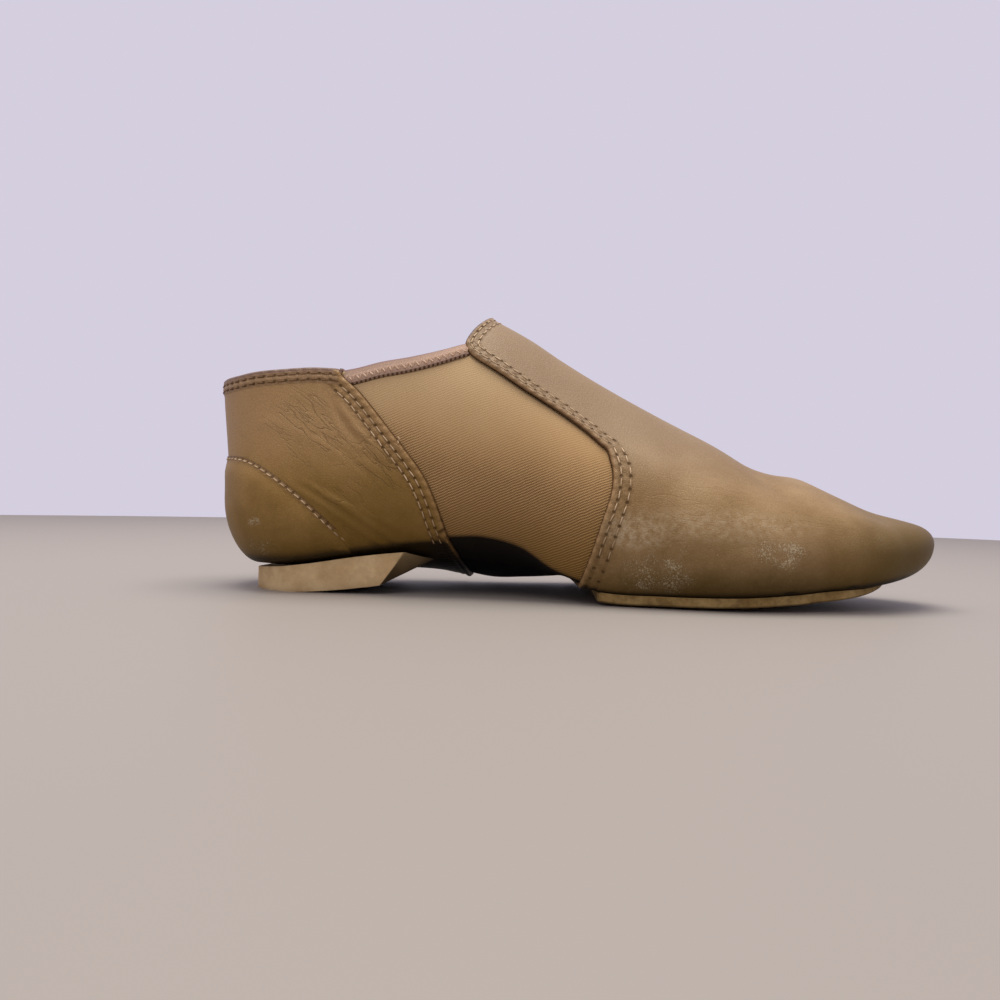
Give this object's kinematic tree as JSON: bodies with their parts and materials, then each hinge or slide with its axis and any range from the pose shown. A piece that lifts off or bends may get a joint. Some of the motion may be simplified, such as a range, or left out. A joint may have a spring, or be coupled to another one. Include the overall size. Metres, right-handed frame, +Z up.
{
  "type": "jazz shoe",
  "caption": "Left slip-on split-sole jazz dance shoe: tan leather vamp and heel, stretch fabric sides under the arch, low heel pad and a thin forefoot sole",
  "frame": {"origin": "middle of the shoe's bounding box in plan, on the floor", "axes": "+X from heel to toe, +Y to the wearer's left (outer side), +Z up"},
  "size_m": [0.2448, 0.0868, 0.0956],
  "materials": {
    "stretch_fabric": "fine diagonal ribbed stretch twill, matte",
    "vamp_leather": "soft tan leather, satin, worn",
    "quarter_leather": "soft tan leather, satin, finely wrinkled",
    "counter_leather": "soft tan leather, satin",
    "collar_leather": "folded leather band, satin",
    "elastic_binding": "folded elastic, matte",
    "forefoot_sole": "suede, matte, scuffed",
    "heel_pad": "covered foam block, matte",
    "insole_lining": "thin lining leather, matte"
  },
  "bodies": {
    "root": {"upper": "stretch_fabric", "vamp": "vamp_leather", "heel_quarter": "quarter_leather", "heel_counter": "counter_leather", "heel_collar_band": "collar_leather", "collar_binding_medial": "elastic_binding", "collar_binding_lateral": "elastic_binding", "outsole_forefoot": "forefoot_sole", "outsole_heel": "heel_pad", "insole": "insole_lining"}
  },
  "joints": []
}
